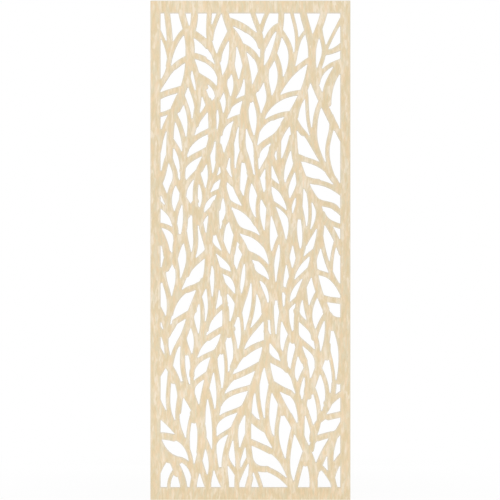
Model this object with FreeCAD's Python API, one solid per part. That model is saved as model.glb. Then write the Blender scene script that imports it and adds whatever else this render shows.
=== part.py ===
import FreeCAD, Part
import os

# Fretwork panel: one sheet of five-ply birch plywood, pierced right through with a willow-leaf pattern.
# Millimetres. X runs along the width, Y from the front face to the back, Z up. The origin is the middle
# of the sheet, and the front faces -Y.

V = FreeCAD.Vector

# Sheet
PANEL_WIDTH = 594.0
PANEL_HEIGHT = 1483.0
STILE_WIDTH = 30.0
RAIL_HEIGHT = 37.5

# Layers, front to back: outer veneers are sanded thinner than the inner ones
OUTER_VENEER = 1.1
CROSSBAND = 1.25
CORE_VENEER = 1.25
GLUE_LINE = 0.1

# Fretwork: width of each kind of stem, and the saw's smallest turn inside a window
STEM = 21.0
BOUGH = 18.1
RIB = 15.4
TWIG = 13.2
TENDRIL = 10.6
TURN_RADIUS = 1.6
SMALLEST_WINDOW = 70.0
CURVE_TOLERANCE = 0.6
STRAIGHT = 0.01

# The pattern is drawn on a grid of squares, counted from a corner just outside the sheet's top left
SQUARES_ACROSS = 199.6
SQUARES_DOWN = 499.5
LEFT_SQUARES = 0.6
TOP_SQUARES = 0.5

# Each row is one stem: its width, then the squares that its middle line passes through.
# Crown: the stems that rise into the top rail
CROWN = [
    (BOUGH, (16.5, 8), (18.7, 26), (19.9, 40), (20.4, 52)),
    (TENDRIL, (8, 28), (13.8, 40), (17.6, 51), (18.9, 62), (16.8, 72), (12, 81)),
    (RIB, (36, 29.3), (29.8, 35.9), (24.9, 44.3), (21, 54), (18.5, 66)),
    (STEM, (31.2, 8), (34.2, 22), (38.2, 38), (39, 54), (37.4, 75), (29.4, 100), (22.5, 117)),
    (STEM, (29.5, 97), (24.5, 108)),
    (RIB, (33.5, 99), (28, 110)),
    (STEM, (37, 30), (40.9, 43), (41, 56), (39, 68)),
    (STEM, (44.2, 8), (44.4, 19), (41, 34)),
    (RIB, (60, 8), (58.7, 24), (59.2, 37), (63.2, 52)),
    (TWIG, (70.4, 9), (66.2, 20), (63.1, 29), (61.2, 39)),
    (STEM, (74.2, 8), (77.3, 20), (81.9, 36), (82.6, 50), (81, 64), (76.3, 76)),
    (RIB, (80, 66), (75.9, 77), (74.6, 85), (77.3, 95), (78.4, 104), (76, 114), (72.8, 124)),
    (RIB, (74.5, 84), (70.5, 93), (66.5, 101)),
    (STEM, (81, 30), (88, 40), (94, 57), (97.4, 74), (98.6, 90), (95.3, 108), (93.3, 122)),
    (RIB, (96.5, 97), (93.3, 108), (92, 116)),
    (RIB, (80, 31.5), (75.1, 41.1), (71.1, 50), (68.8, 60)),
    (STEM, (41, 32), (50, 37.8), (58, 45.6)),
    (RIB, (50, 38), (60, 48), (67, 59.5)),
    (RIB, (64.5, 56), (68.2, 66), (69.8, 78), (67.9, 95), (63.8, 112)),
    (BOUGH, (40, 57.4), (30, 62.4), (25, 66.5)),
    (TWIG, (30, 62.3), (22, 69.8), (14.5, 80), (7, 92)),
    (BOUGH, (40, 55), (47, 56.3), (54, 59)),
    (TWIG, (47, 57), (55, 60), (62.3, 65.2), (68.8, 75.5)),
    (BOUGH, (33.5, 88), (24, 90.8), (15, 93.8), (7, 98)),
    (TWIG, (24, 109.2), (16, 113), (7, 115.2)),
    (RIB, (46, 73), (54, 78.5), (62.5, 84.8), (67, 94)),
    (BOUGH, (41.8, 60), (46.9, 76), (49, 92), (47.6, 106), (44.4, 125), (39.2, 141), (33.3, 157)),
    (RIB, (37.8, 72), (40.1, 84), (44, 95), (46.8, 106)),
    (BOUGH, (49.3, 79), (53.6, 91), (57.9, 103), (61.2, 114)),
    (RIB, (50.5, 79), (55.8, 87)),
    (RIB, (59, 100), (55.3, 110.5), (50.5, 116.8), (46.3, 125)),
    (STEM, (79, 20.8), (91, 25.8), (97, 29.5)),
    (BOUGH, (91, 25.8), (102, 32.9), (108.5, 40.4), (110.6, 46)),
    (BOUGH, (90, 45.2), (98.2, 49.2), (105, 56)),
    (RIB, (98.2, 49.6), (105.4, 56.4), (109.6, 66), (110, 76)),
    (RIB, (82, 62), (83.8, 72), (86, 84), (83.2, 97), (77.3, 112)),
    (TWIG, (95.2, 64), (92.7, 74), (89, 87), (84, 97)),
    (TWIG, (98, 96.4), (90, 99.1), (82.6, 103.6), (75.2, 116.5)),
    (TWIG, (96, 112), (89, 116.7), (81, 119.6), (74.6, 124.6), (70.6, 134)),
    (STEM, (65.5, 102), (63.3, 113), (63.1, 126), (61.5, 140), (57, 154), (50, 169)),
    (RIB, (53, 162), (49.4, 170.5), (46, 185), (46, 207)),
    (BOUGH, (63.5, 104), (61.4, 114), (61.3, 128), (60.8, 136)),
    (TWIG, (66.6, 98), (70.4, 111), (71.2, 122), (68.7, 134), (67.9, 146), (67.4, 160)),
    (TWIG, (32.5, 95), (37.2, 108), (39.6, 120), (39.4, 131), (37.8, 142), (34.2, 154)),
    (RIB, (23.5, 112), (28.2, 121.5), (32.4, 134.3), (34.8, 150), (33.5, 166), (33.3, 182)),
    (RIB, (101.5, 8), (105.8, 21), (110.2, 35), (111.4, 42)),
    (TWIG, (109.5, 32), (112, 45), (112.2, 58), (111.3, 72)),
    (RIB, (111.5, 66), (105.5, 88.5), (100.5, 100)),
    (STEM, (110.5, 74), (105, 87.5), (101, 96)),
    (BOUGH, (112.6, 74), (109.4, 84), (106.5, 89)),
    (TWIG, (103, 91), (105.7, 102), (108.8, 118), (107.3, 132), (105, 145)),
    (TWIG, (119.2, 9), (114.6, 18.5), (111, 30)),
    (BOUGH, (131, 8), (130.9, 22), (127.3, 42), (120.8, 60.8), (115, 69.8)),
    (RIB, (118, 64.5), (116.2, 75), (117.2, 86), (119, 97), (116.2, 108), (112.3, 118.5)),
    (BOUGH, (130.5, 25.2), (123, 29.8), (117, 39.6), (113.8, 46)),
    (TWIG, (116.3, 40), (112.4, 52)),
    (RIB, (130.8, 31.2), (136.8, 40.6), (140.9, 54), (139.8, 66), (132.4, 85)),
    (TENDRIL, (140.6, 8), (144, 22), (146.5, 36), (146, 52), (140.8, 74)),
    (TENDRIL, (157, 29.5), (151.2, 37), (147, 48), (144.8, 60)),
    (STEM, (152.5, 8), (157, 28), (161.5, 48), (160, 69), (153.6, 91), (144.5, 109), (136, 125)),
    (RIB, (166, 36), (163.5, 50), (163.3, 62), (164.5, 74)),
    (RIB, (152, 98), (147.6, 108), (145.8, 116.5)),
    (STEM, (175, 8), (170.8, 22), (166, 36), (161.8, 54)),
    (TWIG, (170.5, 24), (171.9, 39), (173.9, 49), (170.8, 64), (166, 80)),
    (TENDRIL, (193, 15), (186, 28.5), (180, 40.5), (175, 52)),
    (RIB, (194, 45), (186, 49.6), (174, 52.8)),
    (TWIG, (194, 41.8), (187, 48), (181, 51.2)),
    (TWIG, (194, 60.5), (183.4, 63.6), (174, 70.3), (167.8, 82.8)),
    (STEM, (191.2, 61.6), (183.2, 73.4), (178, 84.7), (175.6, 102)),
    (RIB, (190, 69), (184.6, 77.5), (180.4, 89), (178.6, 104)),
    (RIB, (160.5, 58.6), (149, 67), (137, 79), (127, 94.9), (119, 105.5)),
    (RIB, (153.5, 92), (141, 94), (129, 98.6), (117.4, 108.6), (110.5, 123)),
    (RIB, (143, 113.3), (132, 114.6), (123, 117.8)),
    (TWIG, (126, 116.4), (118.6, 119.5), (108, 130.5)),
    (BOUGH, (138, 117), (133.5, 124)),
    (RIB, (125.2, 55), (129.3, 68), (129.5, 83), (124, 97), (117, 108)),
    (TENDRIL, (155.2, 87), (156.8, 100), (157.6, 116), (160.6, 132), (164.5, 141)),
    (STEM, (161, 66), (164.4, 83.2), (171.9, 100.3), (180.6, 118.4), (185.4, 127.4)),
    (RIB, (181, 116), (187.6, 131), (194, 143)),
    (RIB, (173, 98), (168, 108), (164.9, 124), (165, 140), (169, 154.3), (177, 170.8), (187, 184.5)),
    (BOUGH, (142.5, 114.5), (148.9, 127.5), (153, 133)),
    (TWIG, (148.9, 127), (157.6, 137.5), (165, 149.6), (169.5, 157.5)),
    (TWIG, (98, 95), (96.4, 107), (97, 119), (99.5, 130), (104, 141)),
]

# Upper field
UPPER = [
    (RIB, (21.2, 114), (15.6, 126), (11.4, 138), (9.3, 148), (7, 156)),
    (STEM, (23, 114), (20.9, 128), (20, 142), (19.6, 156)),
    (RIB, (20, 152), (15.9, 164), (13, 175), (8.8, 186)),
    (RIB, (20.2, 152), (23, 166), (25.4, 176), (23.2, 184), (19.5, 197), (20.2, 208), (23.6, 220),
     (26, 236)),
    (BOUGH, (8.8, 181.5), (14.4, 194.8), (19.8, 207.8), (23.5, 219)),
    (RIB, (7, 200.8), (13, 206.6), (19, 212.8), (24, 222.5)),
    (RIB, (20.2, 138), (25.6, 146), (30, 154.6), (32.4, 168), (33.2, 182)),
    (STEM, (33.2, 181), (33.3, 190), (32.5, 200)),
    (RIB, (25.8, 178), (28.6, 185), (32.6, 193)),
    (TWIG, (33, 196), (28.2, 208), (25.4, 220), (25.4, 236), (26.5, 250)),
    (RIB, (33.5, 196), (35.6, 211), (35.3, 224), (32.6, 238), (29.5, 246), (25.5, 258)),
    (RIB, (34.8, 233), (37.4, 247), (39, 258), (36, 272), (30.5, 286), (22, 305)),
    (RIB, (62, 129.2), (55, 132.7), (46, 138), (39.9, 144), (34.6, 152.6)),
    (BOUGH, (59, 148.4), (51, 153.1), (42, 158), (35.6, 163), (32.6, 171)),
    (RIB, (50.3, 168.7), (45, 174.3), (39, 181.2), (34.2, 193)),
    (TWIG, (58, 150), (59, 163), (60, 178), (57.2, 191), (53.4, 204), (50.5, 216)),
    (TWIG, (48, 172), (51.3, 182), (54, 194), (53, 205)),
    (TWIG, (68.5, 146), (67.7, 163), (63.9, 178), (57.8, 192)),
    (BOUGH, (69, 146), (72.3, 161), (73.8, 173), (73, 188), (68.5, 198), (66.3, 210), (66.8, 226)),
    (STEM, (73.8, 174), (73.3, 184), (69.5, 196.5), (67.3, 208)),
    (RIB, (66.2, 218), (67.5, 230), (71, 241.3), (74.5, 250.4), (80, 259.5)),
    (TWIG, (74, 170), (69, 177.3), (63.5, 181.3), (58, 191)),
    (TWIG, (73.5, 186), (67, 192), (61, 195), (56.5, 199), (52, 211)),
    (TWIG, (68, 200.3), (62.2, 208), (57.2, 212.8), (51.5, 221.5)),
    (STEM, (66, 203), (62.3, 212), (61, 224), (59.4, 238), (58.3, 254)),
    (STEM, (63.8, 212), (63.6, 222), (64.2, 232)),
    (BOUGH, (34, 198.5), (39, 206.5), (45, 215)),
    (BOUGH, (46, 201), (41.5, 208), (37, 215.5)),
    (BOUGH, (73.5, 184), (76.5, 198), (78.8, 210), (75, 222)),
    (TWIG, (78, 213), (74.6, 223), (72.2, 233), (71.4, 241)),
    (RIB, (47, 208), (50.2, 216), (51.5, 226), (54.4, 237), (57.5, 250)),
    (RIB, (45.4, 202), (45.1, 214), (45.3, 224), (46, 238), (43.8, 254), (38.2, 267.3)),
    (BOUGH, (89, 118), (84.3, 129), (81.7, 141), (78.2, 150)),
    (BOUGH, (81.5, 141), (78, 151), (74, 166)),
    (TWIG, (81.5, 142), (82.3, 158), (82.8, 170), (86, 180)),
    (STEM, (93.1, 118), (92.2, 132), (92.6, 146), (95, 157)),
    (RIB, (93.5, 148), (89.3, 162), (87.8, 176), (87.6, 188)),
    (BOUGH, (93.6, 150), (97.6, 162), (100, 172)),
    (BOUGH, (93.3, 152), (94, 160)),
    (RIB, (94, 150), (98, 163), (100.2, 175), (97.6, 188), (96.8, 203), (100.4, 214), (106, 224)),
    (BOUGH, (99.5, 172.8), (103.5, 179.9), (107.5, 188), (110.5, 197)),
    (BOUGH, (74, 171), (78.7, 178.7), (83.5, 184)),
    (RIB, (78.7, 178.5), (84.3, 184.2), (89.4, 193.7), (94.4, 203.7), (104, 220)),
    (RIB, (84, 178), (86, 188), (90.3, 197), (96, 209)),
    (RIB, (76.5, 197.2), (81, 203.8), (91, 208.4), (99, 214.6), (108.2, 226.3), (115, 241)),
    (BOUGH, (80, 212), (84, 222), (89, 229.3), (99, 233.2), (108, 238.2), (114, 244)),
    (RIB, (99, 233), (108, 237.8), (116.3, 247.3), (121.2, 264), (123, 284)),
    (BOUGH, (78.5, 210), (82.5, 222), (86.4, 234), (91, 241.6), (96.2, 255.5)),
    (RIB, (86.3, 234), (83.9, 246), (82.6, 253)),
    (TWIG, (86.5, 234), (84, 246), (82, 257), (82, 266), (85.5, 276)),
    (RIB, (59.5, 238.5), (63, 247), (71.7, 254.6), (79, 261.3), (84.5, 273)),
    (RIB, (6, 225), (14, 225.9), (22.3, 230.2), (26.8, 243)),
    (STEM, (6.5, 227), (11.8, 236.4), (15.3, 246), (17, 255)),
    (TWIG, (104.4, 140), (105.8, 154), (106.4, 167), (108.4, 181), (112, 194), (118, 207)),
    (TWIG, (110.3, 192), (107.8, 206), (108.7, 220), (113.8, 236), (119, 252)),
    (BOUGH, (128, 133.3), (119, 140.4), (111.5, 145.8), (106.5, 156)),
    (STEM, (135.2, 124.5), (128.4, 134.5), (123.6, 146), (119.5, 160)),
    (RIB, (138, 124), (132, 133), (128.5, 141)),
    (BOUGH, (124, 146), (119.2, 162), (118.2, 177), (118.6, 196)),
    (STEM, (127, 135), (126.5, 143)),
    (TWIG, (129, 138), (128.8, 152), (129.4, 168), (132, 184)),
    (RIB, (121.4, 148), (123.4, 161), (129, 175.2), (133, 188)),
    (TWIG, (119.5, 156), (115, 163.8), (108.5, 176)),
    (BOUGH, (118, 177.8), (122, 182.6), (130, 188.7), (135, 196)),
    (RIB, (130, 189), (136, 199), (139.4, 209)),
    (RIB, (131.5, 180), (135, 192), (138.6, 206), (139.6, 213), (141.2, 222)),
    (TWIG, (145.5, 162.5), (141.3, 174), (137, 185), (136.9, 197)),
    (TWIG, (148.8, 183), (145.2, 192), (141, 202), (139.3, 212)),
    (BOUGH, (140, 117), (143, 127), (144.3, 142), (145.8, 156)),
    (STEM, (144.6, 150), (145.6, 158), (149, 175), (149.5, 194), (148.6, 210)),
    (RIB, (141.5, 137), (137.6, 150), (133.4, 163), (131.4, 177)),
    (RIB, (146, 155.6), (157, 160), (170.5, 165.6), (180.4, 174.2), (188, 186)),
    (BOUGH, (146, 156), (153, 158.8)),
    (BOUGH, (150, 175.6), (158, 179.9), (168, 181.8)),
    (RIB, (150, 176), (158, 180.5), (172, 183.2), (184, 188.5), (194, 195.5)),
    (STEM, (147.8, 163), (153.6, 179), (159.7, 192), (168.5, 208), (170.6, 224), (168.4, 242), (163, 258)),
    (TENDRIL, (158, 192), (159.8, 206), (159.4, 222), (154.6, 242), (150, 258)),
    (TWIG, (166.5, 206), (167.8, 217), (162.2, 231.3), (155, 244)),
    (BOUGH, (164, 197.6), (170.5, 202.8), (180, 204.9), (186, 208.6)),
    (RIB, (180, 205.2), (188, 210.3), (195, 218)),
    (RIB, (172.5, 213.5), (178.2, 221), (186, 225.1), (195, 227.8)),
    (BOUGH, (170, 213), (177, 223), (184, 235), (191.5, 253)),
    (TWIG, (179.6, 116), (181.5, 127), (177.9, 143), (178.1, 161), (183.6, 178), (192, 191)),
    (RIB, (30.8, 243), (30, 236.5)),
]

# Lower field
LOWER = [
    (RIB, (16.8, 248), (17, 256), (13.8, 270), (13.9, 278), (17.3, 290), (19.5, 302), (19.4, 310),
     (17.3, 326)),
    (STEM, (8, 281), (13, 278)),
    (TWIG, (26, 240), (25.2, 256), (28, 276), (24.9, 294), (19.8, 314), (16.8, 334), (18, 360)),
    (RIB, (18, 252), (22, 257.8), (26.5, 267)),
    (BOUGH, (26, 252), (21, 260.5), (16.5, 269)),
    (BOUGH, (58.5, 249.3), (50.2, 258.4), (42.3, 265.5), (36.8, 274.5)),
    (STEM, (58.3, 246), (58, 266), (56, 279), (49, 295), (41.6, 313), (36.3, 330), (29.8, 343)),
    (STEM, (53.5, 281), (47.6, 296), (41.2, 312)),
    (TWIG, (58, 262), (58.6, 288), (60.2, 306), (55.2, 331), (43.5, 361)),
    (BOUGH, (57, 280), (47, 286), (37, 290.2)),
    (RIB, (47, 286.3), (35, 291.2), (26.6, 300), (20.8, 314)),
    (BOUGH, (44, 310.6), (35, 315.8), (25.3, 321.8)),
    (RIB, (25.5, 322.3), (17.5, 336)),
    (TWIG, (49.5, 296), (52.3, 308), (52.7, 319), (50.8, 336), (46, 353)),
    (STEM, (63.5, 257), (66.3, 266), (71.9, 284), (73.8, 294)),
    (RIB, (60, 246), (66, 265), (72, 284), (74.9, 303), (75.4, 322)),
    (RIB, (66.5, 270), (66.5, 286), (64.3, 303), (61, 318)),
    (TWIG, (76, 303.3), (69, 309.3), (62.2, 316.5), (56.6, 330)),
    (BOUGH, (77, 327), (68, 331.7), (58.5, 338)),
    (TWIG, (68, 331.2), (58, 337.7), (50.6, 345.5), (46.2, 354)),
    (RIB, (70, 347), (63, 353.2), (53, 357.8), (45.3, 364), (42, 376)),
    (STEM, (75.4, 308), (75, 330), (71.5, 343), (65.2, 355), (60.4, 370), (56.2, 386), (52.9, 405),
     (52, 422)),
    (STEM, (76, 327.5), (82, 329)),
    (TWIG, (29.3, 342), (23.6, 354), (20.7, 368), (18.7, 388), (18.1, 404), (23.4, 423), (32, 437)),
    (RIB, (35, 335), (32.8, 352), (33.2, 369), (38.2, 389)),
    (TENDRIL, (35, 330), (36.6, 345), (41.2, 359), (42.1, 370), (42.1, 380), (42.3, 392)),
    (RIB, (41.5, 311), (43, 325), (46.3, 338), (45, 353), (43, 362)),
    (BOUGH, (7, 305.8), (13, 317.6), (17.6, 334)),
    (TWIG, (7.4, 325.4), (12.9, 335), (16.5, 346.7), (18.8, 362)),
    (BOUGH, (7, 346), (12.5, 357), (18, 366), (24, 377)),
    (RIB, (18.7, 357.4), (14.3, 365.5), (7.3, 377.5)),
    (RIB, (63.6, 263), (72, 270.7), (81.3, 275.3), (87, 285.5), (88.4, 300)),
    (RIB, (71.3, 278.2), (77.4, 289.5), (84.9, 298.4), (87.7, 309)),
    (RIB, (95.4, 254), (90.4, 267), (87.6, 285), (87.4, 303), (82, 324), (78, 332)),
    (TENDRIL, (88.4, 303), (91.7, 320), (92.2, 339), (87, 357)),
    (TWIG, (81, 324), (84.3, 343), (85.3, 356), (81.2, 372), (77, 384)),
    (TWIG, (88.5, 351), (85.5, 358), (82, 367)),
    (TENDRIL, (73, 338), (75.4, 357), (76.2, 373), (73.9, 390), (68.5, 408)),
    (BOUGH, (95, 253), (98.2, 268), (97.2, 284.2), (92, 302.3), (88.9, 314.3)),
    (STEM, (92, 247), (99.5, 262.8), (106, 282), (112.5, 298), (114.8, 312)),
    (TWIG, (115, 308), (115.9, 325), (116, 342)),
    (TWIG, (100.6, 268), (103.9, 288), (102.8, 308), (97.6, 330), (95.6, 340)),
    (BOUGH, (92.5, 245.6), (97, 252.6), (108, 258.4)),
    (RIB, (97, 252.8), (109, 258.9), (117.2, 267.7), (122, 282)),
    (BOUGH, (101.3, 265.3), (106.4, 275.2), (114.6, 280.2), (120.3, 289.5), (121.6, 304)),
    (RIB, (115, 313.3), (107.2, 324.8), (97.7, 336.3), (91.2, 352)),
    (BOUGH, (117, 342.4), (104, 347.2), (94, 354.3)),
    (RIB, (104, 346.6), (93, 354.5), (84.5, 367)),
    (RIB, (118.8, 200), (117.9, 221), (117.2, 239), (120, 256)),
    (STEM, (118, 192), (124, 212), (130.3, 232), (133.6, 254), (130.7, 274), (130.2, 290)),
    (RIB, (131, 288), (135.5, 291), (137.5, 294)),
    (TWIG, (131, 234.3), (125.7, 246.3), (122.2, 262), (122.3, 280)),
    (TENDRIL, (119, 200), (128.6, 206.2), (136.8, 213.6), (142, 228)),
    (STEM, (141.6, 220), (141.8, 230), (138, 248), (136, 258)),
    (TWIG, (136.3, 250), (138.4, 263), (140.9, 276), (137.8, 295), (137, 306)),
    (RIB, (136.8, 306), (136.5, 316), (142, 338)),
    (BOUGH, (148.8, 204), (144.8, 220), (144, 230), (145.2, 241), (148.4, 257)),
    (RIB, (147.4, 249), (148.2, 257), (143.2, 273), (138.2, 291)),
    (TWIG, (150, 206), (153.9, 226), (154, 243), (149.4, 260)),
    (RIB, (148.7, 208), (149.5, 217)),
    (TENDRIL, (166, 248.5), (155.3, 257.4), (146.7, 268.2), (142.3, 280)),
    (STEM, (164, 256), (160, 270), (153.6, 286), (148, 301)),
    (RIB, (150, 296), (147.7, 306), (146.2, 324), (146.8, 341), (154, 361)),
    (STEM, (146.8, 338), (149, 348), (154, 361)),
    (STEM, (163, 258), (165.3, 278), (169.7, 294), (175.8, 309)),
    (BOUGH, (173, 301), (175.8, 309), (177.8, 325), (176.4, 342), (171, 360)),
    (STEM, (177, 345), (176.8, 357)),
    (RIB, (153.8, 284), (155.8, 303), (159.6, 321), (164.8, 336), (167, 358)),
    (TWIG, (169.3, 289.3), (163, 301.3), (160.2, 314), (162.2, 327)),
    (TWIG, (176.7, 312), (170, 324), (165.2, 338)),
    (BOUGH, (146.3, 310.8), (151, 319.8), (159, 327), (164, 338)),
    (TWIG, (159, 268.8), (149.8, 277.7), (141.6, 287.2), (137.7, 300)),
    (TWIG, (151, 291.2), (145, 300.5), (138.4, 306.8), (135.6, 318)),
    (RIB, (162.3, 267.3), (168.9, 272.3), (178.4, 276), (187.5, 285.6), (195, 299.5)),
    (TWIG, (170.5, 232), (174, 252), (179.2, 268.3), (186, 282.5), (195, 294.5)),
    (TENDRIL, (186.2, 239), (182.5, 254), (181, 272)),
    (BOUGH, (169.5, 295.2), (177, 299.2), (186, 300.4), (195, 303)),
    (STEM, (176, 311.5), (183, 319.3), (195, 320.2)),
    (BOUGH, (179.3, 315), (185.6, 328), (189.8, 342)),
    (RIB, (185, 328), (189.5, 343), (191, 360), (188.5, 382)),
    (TENDRIL, (176.5, 342), (181.4, 363), (183.6, 380), (181.5, 398)),
    (RIB, (183.8, 384), (181.8, 398), (173, 414)),
    (RIB, (145, 332), (152, 342.2), (161.3, 350.2), (167, 366)),
    (TWIG, (148, 345), (144.5, 360), (142.5, 375), (147.5, 393), (151, 412), (151.3, 436)),
    (TWIG, (140, 335), (136, 347), (135, 362)),
    (RIB, (130.4, 284), (130.6, 306), (136.6, 326), (143, 338)),
    (TENDRIL, (131.3, 310), (128.6, 330), (128.9, 348), (135, 366)),
    (TWIG, (124.2, 286), (121.7, 312), (122.4, 325), (123.5, 336), (129, 350)),
    (STEM, (126.5, 285), (126.3, 297)),
    (RIB, (116, 331.5), (120.8, 340), (129.2, 350.6), (135.4, 365)),
    (STEM, (116, 343), (115, 352), (109.3, 370), (104, 384), (98.4, 400), (88.6, 418.3), (82.6, 434.3)),
    (BOUGH, (116.5, 344), (117.5, 366), (122.2, 385), (131, 403)),
    (STEM, (123.5, 387), (131.2, 403), (140.3, 419)),
    (BOUGH, (116, 351), (122, 360.2), (133, 366.2), (137, 370)),
    (TWIG, (133, 365.5), (140.8, 374), (146.5, 387)),
    (RIB, (118.5, 305), (118.8, 317.5)),
    (BOUGH, (23, 375), (23.8, 381)),
    (BOUGH, (141, 335), (142.8, 340.8)),
    (RIB, (36, 346), (36.8, 353)),
    (RIB, (181, 320), (182.2, 328.5)),
    (RIB, (70.5, 347), (71.6, 352)),
    (RIB, (111, 366), (108.3, 378), (107, 385)),
    (RIB, (77.5, 330), (78.9, 335.5)),
]

# Foot: the stems that grow out of the bottom rail
FOOT = [
    (BOUGH, (20.3, 367), (28.7, 385.5), (30.6, 397)),
    (BOUGH, (31.5, 390), (29.6, 402), (28.3, 412)),
    (TWIG, (28.4, 408), (27.8, 420), (32.3, 437), (38, 450)),
    (STEM, (32, 385), (37, 393), (46.5, 411), (52.6, 428), (52.8, 441), (49.2, 460), (43, 490)),
    (STEM, (32, 388), (36, 394.5), (45.3, 411.5), (50.3, 426), (51, 440), (50, 452)),
    (STEM, (40, 388), (44, 402), (49, 414)),
    (BOUGH, (49.5, 461), (53.5, 474), (58.5, 489)),
    (TENDRIL, (41.6, 416), (38.7, 430), (38.3, 446), (41.2, 462)),
    (RIB, (52.5, 436), (59, 451), (61.3, 466), (59.5, 478), (59, 490)),
    (BOUGH, (52.5, 436), (57.5, 447)),
    (RIB, (61, 368.4), (52.2, 377.7), (45, 383.3), (42.3, 392)),
    (TWIG, (56.3, 386), (62, 408), (64.2, 428), (64.5, 452), (66.5, 466)),
    (RIB, (64.6, 455), (67, 470), (75.7, 490)),
    (RIB, (65.3, 353), (66.1, 370), (68.9, 390), (68.6, 404), (65.5, 420)),
    (BOUGH, (110.5, 364), (97, 371.5), (84.5, 377)),
    (TWIG, (86, 375.7), (76.8, 385), (69.5, 402)),
    (RIB, (104.5, 385.4), (91, 390.1), (79.3, 394.4), (69.5, 404.6)),
    (TWIG, (96.5, 403), (88.6, 409.7), (75.5, 414.6), (64.5, 427)),
    (TWIG, (86.5, 422.6), (77.8, 431.9), (70.3, 436.4), (64.8, 444)),
    (BOUGH, (83, 430), (77.5, 447), (74.6, 464), (75.4, 477), (76.3, 490)),
    (RIB, (87.6, 421), (85.8, 441), (87.8, 461), (87.2, 476), (86.9, 490)),
    (TWIG, (76.9, 452.6), (80.2, 464.9), (85.8, 472.7), (88, 481)),
    (BOUGH, (100.7, 394), (98.8, 412), (98.2, 436), (99.5, 458)),
    (TWIG, (99.3, 448), (100.9, 464), (100.6, 474), (98.8, 490)),
    (BOUGH, (100.3, 478), (97, 491)),
    (TWIG, (98.2, 431.5), (93.1, 445.6), (88.2, 461.5)),
    (TWIG, (99.8, 456), (94.8, 465.2), (87.3, 482.2)),
    (TWIG, (107.4, 381), (108.5, 402), (114.2, 426), (125, 448)),
    (STEM, (97, 412.5), (104, 420.8), (114, 428.5)),
    (BOUGH, (104, 420.3), (115, 429), (125.5, 448)),
    (TWIG, (121.5, 380), (118.2, 400), (117.3, 420), (121.2, 438), (127, 451)),
    (TWIG, (130.2, 402), (128, 420), (126.9, 438), (133.5, 461), (141, 484)),
    (STEM, (139, 416), (149.8, 437), (158.3, 457), (162.7, 490)),
    (STEM, (150, 433), (154.2, 444.3), (160, 457), (163.5, 475)),
    (TWIG, (144.8, 424), (139.5, 445), (138, 462), (143, 489)),
    (RIB, (154.8, 453), (149.9, 468), (145, 489)),
    (BOUGH, (157, 456), (163, 470), (164.5, 489)),
    (BOUGH, (98, 441), (111, 446.6), (120, 451.2)),
    (RIB, (111, 446.5), (125, 454.3), (136, 469), (142, 488)),
    (BOUGH, (99.5, 456.5), (105, 466.6), (117, 469.2)),
    (RIB, (117, 469.4), (132, 477.7), (143, 490.5)),
    (TWIG, (103.2, 466), (108, 478), (111.8, 490)),
    (BOUGH, (121, 382.6), (130, 388.3), (140, 393)),
    (RIB, (130, 389), (142, 395), (149.5, 412), (150, 432)),
    (TWIG, (155, 370), (148.6, 386), (147.8, 402)),
    (RIB, (154, 360), (157.2, 380), (156.3, 395), (154.5, 405), (156.5, 412)),
    (TWIG, (154.7, 406), (157.3, 414), (162.3, 432), (161.6, 450)),
    (STEM, (151.6, 403.5), (151.1, 420), (150.8, 436)),
    (STEM, (171.2, 360), (164.8, 378), (160, 392)),
    (STEM, (159, 381), (157.2, 392)),
    (TWIG, (161.3, 384), (166.9, 399), (169, 414), (162, 440)),
    (TWIG, (167.5, 364), (176, 385), (177.2, 398), (175.5, 407), (166.5, 424)),
    (RIB, (195, 391.3), (185.3, 397.9), (175.3, 408.5)),
    (STEM, (180.3, 398.5), (176.8, 403.5)),
    (BOUGH, (195, 413.4), (178, 417.3)),
    (TWIG, (181, 416.2), (177.2, 416.6), (166.4, 424.6), (161.5, 441)),
    (RIB, (194, 420), (186, 434.5)),
    (STEM, (187, 433), (174.4, 452.8), (167.5, 469)),
    (RIB, (169, 465), (165, 478), (163.8, 489)),
    (BOUGH, (185.4, 435), (180.7, 454), (181, 472), (185, 490)),
    (BOUGH, (186, 433.8), (175, 436.1), (168, 438.4)),
    (TWIG, (170, 437.6), (166.4, 439), (161.2, 447)),
    (STEM, (195, 453), (187, 463), (181.5, 477)),
    (TWIG, (168, 464.2), (175.3, 471.8), (184.5, 488)),
    (TWIG, (6.6, 393.5), (11.4, 406.6), (20.8, 421)),
    (BOUGH, (6, 412), (16, 420.3), (25, 429.5), (34, 441)),
    (STEM, (5, 436.2), (14, 436.2), (24, 438)),
    (TWIG, (20, 437.3), (31, 441), (37.3, 448.6), (40.5, 458), (42.5, 472)),
    (STEM, (7.4, 436.6), (14.3, 451), (24, 458.8), (29, 460.5)),
    (RIB, (24, 459.3), (36, 462.3), (42.4, 472), (43.7, 489)),
    (STEM, (6, 452), (14, 458), (21, 460)),
    (RIB, (16.4, 458.5), (11.6, 465.6), (7.5, 475.8)),
    (TENDRIL, (26, 469), (20.3, 478), (19.1, 490)),
    (STEM, (22.3, 460), (30.2, 473.3), (34.2, 490)),
    (BOUGH, (21, 459), (25, 467), (27, 474)),
    (BOUGH, (43, 413), (44.2, 420.5)),
    (BOUGH, (71, 477), (70.5, 470.5)),
    (BOUGH, (155, 456), (155.4, 463.5)),
    (RIB, (131, 406), (132.3, 413.5)),
    (RIB, (158, 390), (158.8, 397)),
]


def square(across, down):
    """The place in the sheet's plane of a point on the pattern's grid."""
    x = ((across - LEFT_SQUARES) / SQUARES_ACROSS - 0.5) * PANEL_WIDTH
    z = (0.5 - (down - TOP_SQUARES) / SQUARES_DOWN) * PANEL_HEIGHT
    return V(x, 0, z)


def rectangle(width, height):
    """A flat upright face of the given size, centred on the origin."""
    corner = V(-width / 2, 0, -height / 2)
    return Part.makePlane(width, height, corner, V(0, -1, 0), V(1, 0, 0))


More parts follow.
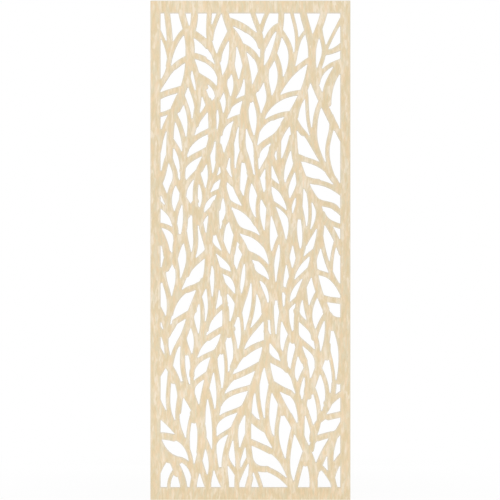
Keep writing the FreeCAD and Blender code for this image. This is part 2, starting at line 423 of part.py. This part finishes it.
def beside(arc, distance):
    """Start, middle and end of an arc moved sideways by a distance."""
    points = []
    for share in (0.0, 0.5, 1.0):
        at = arc.FirstParameter + share * (arc.LastParameter - arc.FirstParameter)
        along = arc.tangent(at)[0]
        points.append(arc.value(at) + V(-along.z, 0, along.x) * distance)
    return points


def side(start, middle, end):
    """One edge through three points: an arc, or a straight line where they are in a row."""
    if middle.distanceToLine(start, end - start) < STRAIGHT:
        return Part.LineSegment(start, end).toShape()
    return Part.Arc(start, middle, end).toShape()


def stem_face(width, squares):
    """One stem: a band of even width along a smooth middle line, round at both ends."""
    line = Part.BSplineCurve()
    line.interpolate([square(*point) for point in squares])
    arcs = line.toBiArcs(CURVE_TOLERANCE)
    first, last = arcs[0], arcs[-1]
    left = [beside(arc, width / 2) for arc in arcs]
    right = [beside(arc, -width / 2)[::-1] for arc in reversed(arcs)]
    tip = last.value(last.LastParameter) + last.tangent(last.LastParameter)[0] * (width / 2)
    root = first.value(first.FirstParameter) - first.tangent(first.FirstParameter)[0] * (width / 2)
    sides = left + [(left[-1][2], tip, right[0][0])]
    sides += right + [(right[-1][2], root, left[0][0])]
    return Part.Face(Part.Wire([side(*points) for points in sides]))


def sawn(opening):
    """A window as the saw leaves it: sharp corners turned at the saw's radius, and no thin slits."""
    for radius in (TURN_RADIUS, 0.8 * TURN_RADIUS, 0.6 * TURN_RADIUS):
        try:
            core = opening.makeOffset2D(-radius)
            return [face.makeOffset2D(radius) for face in core.Faces]
        except (ValueError, FreeCAD.Base.CADKernelError):
            continue
    return [opening]


def windows():
    """The openings that the stems leave between the stiles and rails."""
    field = rectangle(PANEL_WIDTH - 2 * STILE_WIDTH, PANEL_HEIGHT - 2 * RAIL_HEIGHT)
    stems = [stem_face(row[0], row[1:]) for row in CROWN + UPPER + LOWER + FOOT]
    openings = []
    for opening in field.cut(stems).Faces:
        if opening.Area > SMALLEST_WINDOW:
            openings += sawn(opening)
    return [opening for opening in openings if opening.Area > SMALLEST_WINDOW]


def fretwork():
    """The pierced face that every layer shares, since the sheet is glued up first and then cut."""
    outline = rectangle(PANEL_WIDTH, PANEL_HEIGHT)
    wires = [outline.OuterWire] + [opening.OuterWire for opening in windows()]
    return Part.makeFace(wires, "Part::FaceMakerBullseye")


def build():
    """Stack the layers from the front face to the back, and write one file for each."""
    layers = [
        ("face_veneer", OUTER_VENEER),
        ("glue_line_1", GLUE_LINE),
        ("front_crossband", CROSSBAND),
        ("glue_line_2", GLUE_LINE),
        ("core_veneer", CORE_VENEER),
        ("glue_line_3", GLUE_LINE),
        ("rear_crossband", CROSSBAND),
        ("glue_line_4", GLUE_LINE),
        ("back_veneer", OUTER_VENEER),
    ]
    face = fretwork()
    front = -sum(thickness for name, thickness in layers) / 2
    for name, thickness in layers:
        layer = face.translated(V(0, front, 0)).extrude(V(0, thickness, 0))
        layer.exportStep("parts/" + name + ".step")
        front += thickness


os.makedirs("parts", exist_ok=True)
build()
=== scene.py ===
"""Looks of a pierced plywood panel: birch veneers with eased arrises, standing in a pale studio."""

import logging
import math
from dataclasses import dataclass
from enum import Enum
from typing import List, Mapping, Optional, Sequence, Set, Tuple, Union

import bmesh
import bpy
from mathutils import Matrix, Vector


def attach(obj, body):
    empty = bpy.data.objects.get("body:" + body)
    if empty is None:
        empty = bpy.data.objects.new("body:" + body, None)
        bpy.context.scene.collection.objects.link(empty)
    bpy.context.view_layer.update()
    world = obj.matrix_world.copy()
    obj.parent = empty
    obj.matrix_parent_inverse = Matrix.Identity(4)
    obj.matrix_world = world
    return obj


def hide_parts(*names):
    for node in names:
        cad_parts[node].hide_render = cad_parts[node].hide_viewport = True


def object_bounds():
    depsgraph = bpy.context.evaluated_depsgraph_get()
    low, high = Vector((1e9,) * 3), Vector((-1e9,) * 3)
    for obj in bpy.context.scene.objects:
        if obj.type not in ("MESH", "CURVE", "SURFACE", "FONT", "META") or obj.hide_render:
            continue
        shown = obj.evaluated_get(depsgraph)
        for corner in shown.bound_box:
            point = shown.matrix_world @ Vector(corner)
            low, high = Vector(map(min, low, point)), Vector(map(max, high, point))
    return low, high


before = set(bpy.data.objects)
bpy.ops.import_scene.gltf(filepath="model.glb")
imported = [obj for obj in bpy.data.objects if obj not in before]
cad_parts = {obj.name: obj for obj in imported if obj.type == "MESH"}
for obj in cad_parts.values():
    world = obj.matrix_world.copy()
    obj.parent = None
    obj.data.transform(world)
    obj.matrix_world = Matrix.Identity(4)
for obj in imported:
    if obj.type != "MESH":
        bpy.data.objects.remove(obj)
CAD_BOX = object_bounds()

LOG = logging.getLogger("fretwork_panel")
MM = 0.001
QUARTER_TURN = math.radians(90)
NOISE_MIDDLE = 0.5
FULL_WHITE = 1.0
WHITE = (1, 1, 1, 1)
BODY = "root"
# Vertex attribute that masks the band of painted shade along the veneers' outer edges.
EDGE_SHADE_MASK = "arris"

Colour = Tuple[float, float, float]
Limits = Tuple[float, float]
Operand = Union["Shade", float]
SocketKey = Union[int, str]


class Shade:
    """A node's output socket that can be used in Python expressions."""

    def __init__(self, graph: "Graph", socket: bpy.types.NodeSocket) -> None:
        """Wraps one output socket of a graph."""
        self.graph = graph
        self.socket = socket

    def _math(self, operation: str, first: Operand, second: Operand) -> "Shade":
        """Adds one Math node.

        Args:
            operation: The Math node's operation.
            first: Left operand, a socket or a number.
            second: Right operand, a socket or a number.

        Returns:
            The node's result.
        """
        return self.graph.node("ShaderNodeMath", {"operation": operation}, {0: first, 1: second})

    def __add__(self, other: Operand) -> "Shade":
        """Sum of two values."""
        return self._math("ADD", self, other)

    def __radd__(self, other: Operand) -> "Shade":
        """Sum, with the number first."""
        return self._math("ADD", other, self)

    def __sub__(self, other: Operand) -> "Shade":
        """Difference of two values."""
        return self._math("SUBTRACT", self, other)

    def __rsub__(self, other: Operand) -> "Shade":
        """Difference, with the number first."""
        return self._math("SUBTRACT", other, self)

    def __mul__(self, other: Operand) -> "Shade":
        """Product of two values."""
        return self._math("MULTIPLY", self, other)

    def __rmul__(self, other: Operand) -> "Shade":
        """Product, with the number first."""
        return self._math("MULTIPLY", other, self)

    def __abs__(self) -> "Shade":
        """Value without its sign."""
        return self._math("ABSOLUTE", self, 0.0)


class Graph:
    """A node tree that is filled by Python calls."""

    def __init__(self, owner: Union[bpy.types.Material, bpy.types.World]) -> None:
        """Takes over a node tree, and empties it.

        Args:
            owner: The material or the world that the tree belongs to.
        """
        owner.use_nodes = True
        self.tree = owner.node_tree
        self.tree.nodes.clear()

    @staticmethod
    def _socket(sockets: Sequence[bpy.types.NodeSocket], key: SocketKey) -> bpy.types.NodeSocket:
        """Finds a socket by its place or its identifier.

        Args:
            sockets: A node's inputs or outputs.
            key: Place in the list, or the socket's identifier.

        Returns:
            The socket.
        """
        if isinstance(key, int):
            return sockets[key]
        return next(socket for socket in sockets if socket.identifier == key)

    def node(
        self,
        kind: str,
        settings: Optional[Mapping[str, object]] = None,
        inputs: Optional[Mapping[SocketKey, object]] = None,
        output: SocketKey = 0,
    ) -> Shade:
        """Adds a node of any kind.

        Args:
            kind: Type of the node.
            settings: The node's properties, set before its sockets.
            inputs: A value or a link for each socket that is set.
            output: The output that is handed back.

        Returns:
            The chosen output, or the node's first input when it has no output.
        """
        made = self.tree.nodes.new(kind)
        for name, value in (settings or {}).items():
            setattr(made, name, value)
        for key, value in (inputs or {}).items():
            socket = self._socket(made.inputs, key)
            if isinstance(value, Shade):
                self.tree.links.new(value.socket, socket)
            else:
                socket.default_value = value
        return Shade(self, self._socket(made.outputs, output) if made.outputs else made.inputs[0])

    def ramp(self, value: Operand, low: float, high: float) -> Shade:
        """Smooth step of a value from 0 at low to 1 at high.

        Args:
            value: The value to look at.
            low: Where the step starts.
            high: Where the step ends.

        Returns:
            A value from 0 to 1.
        """
        limits = {"Value": value, "From Min": low, "From Max": high}
        return self.node("ShaderNodeMapRange", {"interpolation_type": "SMOOTHSTEP"}, limits)

    def blend(self, amount: Operand, first: object, second: object) -> Shade:
        """Mixes two colours.

        Args:
            amount: How much of the second colour shows.
            first: A colour or a link.
            second: A colour or a link.

        Returns:
            The mixed colour.
        """
        ends = [end if isinstance(end, Shade) else (*end, 1.0) for end in (first, second)]
        inputs = {"Factor_Float": amount, "A_Color": ends[0], "B_Color": ends[1]}
        return self.node("ShaderNodeMix", {"data_type": "RGBA"}, inputs, "Result_Color")


class Grain(Enum):
    """Which way fibres or saw marks run, as an axis."""

    UPRIGHT = (0, 0, 1)
    ACROSS = (1, 0, 0)
    THROUGH = (0, 1, 0)


class Side(Enum):
    """A side of the panel, as the sign of its place along Y."""

    FRONT = -1.0
    BACK = 1.0


@dataclass(frozen=True)
class Streak:
    """A family of streaks or marks that all run one way.

    Attributes:
        width: Size across their run, in metres.
        length: Size along their run, in metres.
        low: Noise at which the streaks start to show.
        high: Noise at which they show most.
        amount: How much of their tint then shows.
        step: Sets the family apart from the others in the noise.
        detail: Octaves of finer noise.
    """

    width: float
    length: float
    low: float
    high: float
    amount: float
    step: int
    detail: float = 2.0


@dataclass(frozen=True)
class BirchFinish:
    """Sanded birch veneer: pale ground, tinted streaks, fine fibres, darker cut walls and a band of
    painted shade along the face edges.
    """

    name: str
    grain: Grain
    shift: float
    ground: Colour = (0.940, 0.824, 0.656)
    tan: Colour = (0.770, 0.626, 0.384)
    peach: Colour = (0.918, 0.710, 0.473)
    ash: Colour = (0.772, 0.710, 0.530)
    # Painted shade: a greyer, darker colour in a band along the face edges, where the rounded arris
    # turns from the light.
    shade_rim: Colour = (0.740, 0.685, 0.560)
    cut_along: Colour = (0.640, 0.500, 0.330)
    cut_end: Colour = (0.500, 0.370, 0.220)
    broad_streak: Streak = Streak(16 * MM, 56 * MM, 0.42, 0.58, 0.60, step=0)
    fine_streak: Streak = Streak(8 * MM, 32 * MM, 0.42, 0.58, 0.75, step=1)
    peach_streak: Streak = Streak(8 * MM, 34 * MM, 0.46, 0.66, 0.60, step=2)
    ash_streak: Streak = Streak(7 * MM, 34 * MM, 0.48, 0.68, 0.60, step=3)
    fibre: Streak = Streak(0.55 * MM, 22 * MM, 0.36, 0.64, 0.17, step=7, detail=4.0)
    fleck: Streak = Streak(0.40 * MM, 3.2 * MM, 0.62, 0.72, 0.30, step=11, detail=1.0)
    saw_mark: Streak = Streak(0.50 * MM, 1000 * MM, 0.40, 0.66, 0.35, step=13)
    noise_roughness: float = 0.55
    sway: float = 9 * MM
    sway_size: float = 140 * MM
    sway_detail: float = 1.0
    wall_turn: Limits = (0.25, 0.75)
    end_turn: Limits = (0.2, 0.9)
    wall_share: float = 0.8
    # How much of the painted edge shade shows in its band.
    shade_rim_share: float = 0.8
    roughness: float = 0.60
    wall_roughness: float = 0.18
    fibre_roughness: float = 0.2
    fibre_height: float = 0.06 * MM
    bump_strength: float = 0.5
    specular: float = 0.3

    def _swayed(self, graph: Graph) -> Shade:
        """Object coordinates that swing slowly sideways, as grain does round a log's bends.

        Args:
            graph: The material's nodes.

        Returns:
            The coordinates.
        """
        place = graph.node("ShaderNodeTexCoord", output="Object")
        slow = graph.node("ShaderNodeTexNoise", inputs={
            "Vector": place, "Scale": 1 / self.sway_size, "Detail": self.sway_detail,
        })
        swing = (slow - NOISE_MIDDLE) * (2 * self.sway)
        side = graph.node("ShaderNodeCombineXYZ", inputs={
            index: swing for index, along in enumerate(self.grain.value) if not along
        })
        return graph.node("ShaderNodeVectorMath", {"operation": "ADD"}, {0: place, 1: side})

    def _noise(self, graph: Graph, place: Shade, streak: Streak, run: Grain) -> Shade:
        """Noise drawn out along the grain or the saw marks.

        Args:
            graph: The material's nodes.
            place: Coordinates that the noise is read at.
            streak: Size and detail of the streaks.
            run: Which way the streaks run.

        Returns:
            A value from 0 to 1.
        """
        scale = [1 / (streak.length if along else streak.width) for along in run.value]
        start = (self.shift + streak.step, 2.0 * streak.step, self.shift - streak.step)
        laid = graph.node("ShaderNodeMapping", inputs={
            "Vector": place, "Location": start, "Scale": scale,
        })
        return graph.node("ShaderNodeTexNoise", inputs={
            "Vector": laid, "Scale": 1.0, "Detail": streak.detail, "Roughness": self.noise_roughness,
        })

    def _shown(self, graph: Graph, place: Shade, streak: Streak, run: Grain) -> Shade:
        """How much of a family of streaks shows at each place.

        Args:
            graph: The material's nodes.
            place: Coordinates that the streaks are read at.
            streak: The family of streaks.
            run: Which way the streaks run.

        Returns:
            A value from 0 to the family's amount.
        """
        noise = self._noise(graph, place, streak, run)
        return graph.ramp(noise, streak.low, streak.high) * streak.amount

    @staticmethod
    def _facing(graph: Graph, normal: Shade, axis: Grain) -> Shade:
        """How squarely the surface faces along an axis, either way.

        Args:
            graph: The material's nodes.
            normal: The surface's normal.
            axis: The axis to compare it with.

        Returns:
            A value from 0 to 1.
        """
        ends = {0: normal, 1: axis.value}
        return abs(graph.node("ShaderNodeVectorMath", {"operation": "DOT_PRODUCT"}, ends, "Value"))

    def _face_colour(self, graph: Graph, place: Shade, fibre: Shade) -> Shade:
        """Colour of the sanded face: streaks on the ground, then fibres and flecks.

        Args:
            graph: The material's nodes.
            place: Coordinates that the streaks are read at.
            fibre: Noise of the fibres.

        Returns:
            The colour.
        """
        colour: object = self.ground
        tints = ((self.tan, self.broad_streak), (self.tan, self.fine_streak),
                 (self.peach, self.peach_streak), (self.ash, self.ash_streak))
        for tint, streak in tints:
            colour = graph.blend(self._shown(graph, place, streak, self.grain), colour, tint)
        dark = (1.0 - graph.ramp(fibre, self.fibre.low, self.fibre.high)) * self.fibre.amount
        colour = graph.blend(dark, colour, self.cut_end)
        return graph.blend(self._shown(graph, place, self.fleck, self.grain), colour, self.cut_end)

    def _wall_colour(self, graph: Graph, place: Shade, normal: Shade) -> Shade:
        """Colour of the cut walls: darker where the cut crosses the fibres, and scored by the saw.

        Args:
            graph: The material's nodes.
            place: Coordinates that the saw marks are read at.
            normal: The surface's normal.

        Returns:
            The colour.
        """
        crossed = graph.ramp(self._facing(graph, normal, self.grain), *self.end_turn)
        cut = graph.blend(crossed, self.cut_along, self.cut_end)
        return graph.blend(self._shown(graph, place, self.saw_mark, Grain.THROUGH), cut, self.cut_end)

    def material(self) -> bpy.types.Material:
        """Builds the node material.

        Returns:
            The material.
        """
        made = bpy.data.materials.new(self.name)
        graph = Graph(made)
        place = self._swayed(graph)
        normal = graph.node("ShaderNodeTexCoord", output="Normal")
        fibre = self._noise(graph, place, self.fibre, self.grain)
        wall = 1.0 - graph.ramp(self._facing(graph, normal, Grain.THROUGH), *self.wall_turn)
        # Mask of the band of painted shade along the face edges.
        painted_edge_shade = graph.node("ShaderNodeAttribute", {"attribute_name": EDGE_SHADE_MASK}, output="Fac")
        colour = self._face_colour(graph, place, fibre)
        colour = graph.blend(wall * self.wall_share, colour, self._wall_colour(graph, place, normal))
        # Painted shade: the band along the face edges is greyed and darkened.
        colour = graph.blend(painted_edge_shade * self.shade_rim_share, colour, self.shade_rim)
        bump = graph.node("ShaderNodeBump", inputs={
            "Strength": self.bump_strength, "Distance": self.fibre_height, "Height": fibre,
        })
        uneven = (fibre - NOISE_MIDDLE) * self.fibre_roughness
        skin = graph.node("ShaderNodeBsdfPrincipled", inputs={
            "Base Color": colour,
            "Roughness": self.roughness + uneven + wall * self.wall_roughness,
            "Normal": bump,
            "Specular IOR Level": self.specular,
        })
        graph.node("ShaderNodeOutputMaterial", inputs={"Surface": skin})
        return made


@dataclass(frozen=True)
class GlueFinish:
    """Cured glue: a thin brown film, mottled where wood fibres were pressed into it."""

    name: str = "cured_glue"
    film: Colour = (0.400, 0.270, 0.150)
    starved: Colour = (0.560, 0.420, 0.260)
    mottle: float = 1.6 * MM
    mottle_detail: float = 3.0
    mottle_limits: Limits = (0.4, 0.65)
    mottle_roughness: float = 0.3
    roughness: float = 0.45

    def material(self) -> bpy.types.Material:
        """Builds the node material.

        Returns:
            The material.
        """
        made = bpy.data.materials.new(self.name)
        graph = Graph(made)
        place = graph.node("ShaderNodeTexCoord", output="Object")
        patch = graph.node("ShaderNodeTexNoise", inputs={
            "Vector": place, "Scale": 1 / self.mottle, "Detail": self.mottle_detail,
        })
        colour = graph.blend(graph.ramp(patch, *self.mottle_limits), self.film, self.starved)
        skin = graph.node("ShaderNodeBsdfPrincipled", inputs={
            "Base Color": colour,
            "Roughness": self.roughness + (patch - NOISE_MIDDLE) * self.mottle_roughness,
        })
        graph.node("ShaderNodeOutputMaterial", inputs={"Surface": skin})
        return made


@dataclass(frozen=True)
class Ring:
    """A ring of faces along a border: its faces, its outer vertices and the vertices inside it."""

    faces: List[bmesh.types.BMFace]
    outer: Set[bmesh.types.BMVert]
    inner: Set[bmesh.types.BMVert]


@dataclass
class OuterVeneer:
    """A face or back veneer: the pierced sheet with its outer arrises sanded round, and a band of
    painted shade along them.
    """

    node: str
    side: Side
    finish: BirchFinish
    slot: str = "face_veneer"
    arris: float = 0.45 * MM
    # Width of the band of painted shade along the face edges.
    shade_rim: float = 4.0 * MM
    steps: int = 2
    tries: int = 12
    draw_back: float = 0.5
    merge: float = 0.08 * MM
    square_on: float = 0.9
    smooth_angle: float = math.radians(40)

    def _outward(self, face: bmesh.types.BMFace) -> float:
        """How squarely a face looks outwards, from -1 to 1."""
        return face.normal.y * self.side.value

    @staticmethod
    def _ring(mesh: bmesh.types.BMesh, faces: List[bmesh.types.BMFace], width: float) -> Ring:
        """Draws a ring along the border of some faces, which shrink to make room for it.

        Args:
            mesh: The veneer's mesh.
            faces: The faces that the ring goes round.
            width: Width of the ring.

        Returns:
            The ring.
        """
        made = bmesh.ops.inset_region(
            mesh, faces=faces, thickness=width, use_even_offset=False, use_boundary=True)["faces"]
        inner = {vert for face in faces for vert in face.verts}
        outer = {vert for face in made for vert in face.verts} - inner
        return Ring(made, outer, inner)

    def _ease(self, mesh: bmesh.types.BMesh) -> None:
        """Rounds the outer arrises, and marks them and a narrow rim for the painted shade of the
        finish.

        Args:
            mesh: The veneer's merged mesh.
        """
        # This mask carries the painted shade along the edges.
        mark = mesh.verts.layers.float.new(EDGE_SHADE_MASK)
        faces = [face for face in mesh.faces if self._outward(face) > self.square_on]
        reached = 0.0
        for step in range(self.steps):
            turn = QUARTER_TURN * (step + 1) / self.steps
            before = QUARTER_TURN * step / self.steps
            inset = self.arris * (1 - math.cos(turn))
            depth = self.arris * (1 - math.sin(before))
            ring = self._ring(mesh, faces, inset - reached)
            reached = inset
            for vert in ring.outer:
                vert.co.y -= self.side.value * depth
                vert[mark] = 1.0
        # The rim is the band where the finish paints shade along the edges.
        shade_rim = self._ring(mesh, faces, self.shade_rim)
        for vert in shade_rim.outer:
            vert[mark] = 1.0
        self._untangle(mesh, faces + shade_rim.faces, shade_rim.inner)

    def _untangle(
        self,
        mesh: bmesh.types.BMesh,
        faces: List[bmesh.types.BMFace],
        inner: Set[bmesh.types.BMVert],
    ) -> None:
        """Draws the rim's inner line back towards the edge where two rims would cross.

        Args:
            mesh: The veneer's mesh.
            faces: The rim and the faces inside it.
            inner: The vertices inside the rim, its inner line among them.
        """
        for _ in range(self.tries):
            mesh.normal_update()
            crossed = [face for face in faces if self._outward(face) < self.square_on]
            if not crossed:
                break
            for vert in {vert for face in crossed for vert in face.verts} & inner:
                edge = [e.other_vert(vert) for e in vert.link_edges if e.other_vert(vert) not in inner]
                if edge:
                    vert.co = vert.co.lerp(edge[0].co, self.draw_back)
        LOG.info("%s: %d crossed faces at the last look", self.node, len(crossed))

    def build(self) -> bpy.types.Object:
        """Makes the eased veneer that stands for the plain one.

        Returns:
            The new piece.
        """
        mesh = bmesh.new()
        mesh.from_mesh(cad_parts[self.node].data)
        bmesh.ops.remove_doubles(mesh, verts=mesh.verts, dist=self.merge)
        self._ease(mesh)
        data = bpy.data.meshes.new(self.node + "_eased")
        mesh.to_mesh(data)
        mesh.free()
        data.shade_smooth()
        data.set_sharp_from_angle(angle=self.smooth_angle)
        data.materials.clear()
        data.materials.append(self.finish.material())
        piece = bpy.data.objects.new(self.node + "_eased", data)
        bpy.context.scene.collection.objects.link(piece)
        weighted = piece.modifiers.new("flat_faces_stay_flat", "WEIGHTED_NORMAL")
        weighted.keep_sharp = True
        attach(piece, BODY)
        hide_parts(self.node)
        LOG.info("%s: %d faces", piece.name, len(data.polygons))
        return piece


@dataclass
class InnerLayer:
    """A veneer or glue line inside the sheet, which shows only in the cut walls."""

    node: str
    finish: Union[BirchFinish, GlueFinish]

    def dress(self) -> None:
        """Gives the layer its finish."""
        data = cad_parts[self.node].data
        data.materials.clear()
        data.materials.append(self.finish.material())
        LOG.info("%s: %s", self.node, self.finish.name)


@dataclass(frozen=True)
class SoftLamp:
    """A large soft lamp, in metres and watts.

    Attributes:
        away: Distance from the middle of the sheet.
        height: Height over the panel's middle.
        aim: Height of the point that it looks at.
        size: Width and height of its lit face.
        power: Its power in front of the panel.
        aside: Distance to the left, seen from its own side.
    """

    away: float
    height: float
    aim: float
    size: Tuple[float, float]
    power: float
    aside: float = 0.0


@dataclass
class Studio:
    """White surroundings, soft light, and a camera square to the panel's face."""

    lens: float = 120.0
    sensor: float = 36.0
    photo_pixels: float = 500.0
    panel_pixels: float = 499.5
    right_pixels: float = 0.4
    down_pixels: float = 0.25
    ambient: float = 0.622
    key: SoftLamp = SoftLamp(away=4.0, height=0.85, aim=0.0, size=(2.4, 2.4), power=44.0, aside=0.8)
    low: SoftLamp = SoftLamp(away=0.8, height=-0.62, aim=-0.70, size=(1.8, 0.2), power=1.15)
    high: SoftLamp = SoftLamp(away=1.0, height=0.9, aim=0.9, size=(1.8, 0.6), power=1.6)
    back_share: float = 0.8
    floor_reach: float = 3.0
    floor_sides: int = 96
    floor_paint: Colour = (0.9, 0.9, 0.9)
    floor_white: float = 0.93
    floor_fade: Limits = (0.25, 1.3)

    def camera(self) -> None:
        """Places the camera so that the panel lies in the image as in the photo."""
        low, high = CAD_BOX
        pixel = (high.z - low.z) / self.panel_pixels
        distance = self.photo_pixels * pixel * self.lens / self.sensor
        data = bpy.data.cameras.new("camera")
        data.lens = self.lens
        data.sensor_width = self.sensor
        camera = bpy.data.objects.new("camera", data)
        middle = (low + high) / 2
        camera.location = (middle.x - self.right_pixels * pixel, low.y - distance,
                           middle.z + self.down_pixels * pixel)
        camera.rotation_euler = (QUARTER_TURN, 0, 0)
        bpy.context.scene.collection.objects.link(camera)
        bpy.context.scene.camera = camera

    @staticmethod
    def _seen(graph: Graph) -> Shade:
        """Picks out the rays that show the surroundings directly, in gloss or through glass.

        Args:
            graph: The nodes of the world or the floor.

        Returns:
            1 for those rays, and 0 for the rest.
        """
        path = [graph.node("ShaderNodeLightPath", output=name)
                for name in ("Is Camera Ray", "Is Glossy Ray", "Is Transmission Ray")]
        return graph.node("ShaderNodeClamp", inputs={"Value": path[0] + path[1] + path[2]})

    def world(self) -> None:
        """White surroundings: full white to the eye, softer as a light."""
        world = bpy.data.worlds.new("studio")
        bpy.context.scene.world = world
        graph = Graph(world)
        strength = self.ambient + self._seen(graph) * (FULL_WHITE - self.ambient)
        glow = graph.node("ShaderNodeBackground", inputs={"Color": WHITE, "Strength": strength})
        graph.node("ShaderNodeOutputWorld", inputs={"Surface": glow})

    def _floor_material(self) -> bpy.types.Material:
        """Pale paint that is nearly white to the eye, and fully so away from the panel.

        Returns:
            The material.
        """
        material = bpy.data.materials.new("studio_floor")
        graph = Graph(material)
        paint = graph.node("ShaderNodeBsdfDiffuse", inputs={"Color": (*self.floor_paint, 1)})
        glow = graph.node("ShaderNodeEmission", inputs={"Color": WHITE, "Strength": FULL_WHITE})
        place = graph.node("ShaderNodeTexCoord", output="Object")
        away = graph.node("ShaderNodeVectorMath", {"operation": "DISTANCE"},
                          {0: place, 1: (0, 0, CAD_BOX[0].z)}, "Value")
        white = self.floor_white + graph.ramp(away, *self.floor_fade) * (FULL_WHITE - self.floor_white)
        both = graph.node("ShaderNodeMixShader", inputs={
            0: self._seen(graph) * white, 1: paint, 2: glow,
        })
        graph.node("ShaderNodeOutputMaterial", inputs={"Surface": both})
        return material

    def floor(self) -> None:
        """Pale floor under the panel, which takes a faint shadow."""
        mesh = bmesh.new()
        bmesh.ops.create_circle(
            mesh, cap_ends=True, radius=self.floor_reach, segments=self.floor_sides)
        bmesh.ops.translate(mesh, verts=mesh.verts, vec=(0, 0, CAD_BOX[0].z))
        data = bpy.data.meshes.new("floor")
        mesh.to_mesh(data)
        mesh.free()
        data.materials.append(self._floor_material())
        floor = bpy.data.objects.new("floor", data)
        bpy.context.scene.collection.objects.link(floor)

    def lamp(self, name: str, soft: SoftLamp, side: Side) -> None:
        """Hangs one soft lamp that looks at the panel.

        Args:
            name: Name of the lamp.
            soft: Where the lamp hangs, what it looks at, its size and its power.
            side: The side of the panel that it lights.
        """
        data = bpy.data.lights.new(name, "AREA")
        data.shape = "RECTANGLE"
        data.size, data.size_y = soft.size
        data.energy = soft.power * (self.back_share if side is Side.BACK else 1.0)
        lamp = bpy.data.objects.new(name, data)
        lamp.location = (soft.aside * side.value, soft.away * side.value, soft.height)
        look = Vector((0.0, 0.0, soft.aim)) - lamp.location
        lamp.rotation_euler = look.to_track_quat("-Z", "Y").to_euler()
        lamp.visible_camera = False
        bpy.context.scene.collection.objects.link(lamp)

    def build(self) -> None:
        """Sets up the whole studio."""
        bpy.context.scene.view_settings.view_transform = "Standard"
        self.camera()
        self.world()
        self.floor()
        for side in Side:
            for name, soft in (("key", self.key), ("low", self.low), ("high", self.high)):
                self.lamp(f"{side.name.lower()}_{name}", soft, side)
        LOG.info("studio ready")


UPRIGHT_FACE = BirchFinish("birch_face", Grain.UPRIGHT, 3.0)
UPRIGHT_BACK = BirchFinish("birch_back", Grain.UPRIGHT, 23.0)
UPRIGHT_CORE = BirchFinish("birch_core", Grain.UPRIGHT, 41.0)
CROSS_FRONT = BirchFinish("birch_crossband_front", Grain.ACROSS, 57.0)
CROSS_REAR = BirchFinish("birch_crossband_rear", Grain.ACROSS, 71.0)
GLUE = GlueFinish()


@dataclass
class PlywoodSheet:
    """The five veneers and four glue lines of the panel, front to back."""

    outer: Sequence[OuterVeneer] = (
        OuterVeneer("face_veneer", Side.FRONT, UPRIGHT_FACE),
        OuterVeneer("back_veneer", Side.BACK, UPRIGHT_BACK),
    )
    inner: Sequence[InnerLayer] = (
        InnerLayer("glue_line_1", GLUE),
        InnerLayer("front_crossband", CROSS_FRONT),
        InnerLayer("glue_line_2", GLUE),
        InnerLayer("core_veneer", UPRIGHT_CORE),
        InnerLayer("glue_line_3", GLUE),
        InnerLayer("rear_crossband", CROSS_REAR),
        InnerLayer("glue_line_4", GLUE),
    )

    def build(self) -> None:
        """Makes the outer veneers and dresses the inner layers."""
        for veneer in self.outer:
            veneer.build()
        for layer in self.inner:
            layer.dress()


def main() -> None:
    """Builds the panel and its studio."""
    logging.basicConfig(level=logging.INFO, format="%(message)s")
    PlywoodSheet().build()
    Studio().build()


if __name__ == "__main__":
    main()
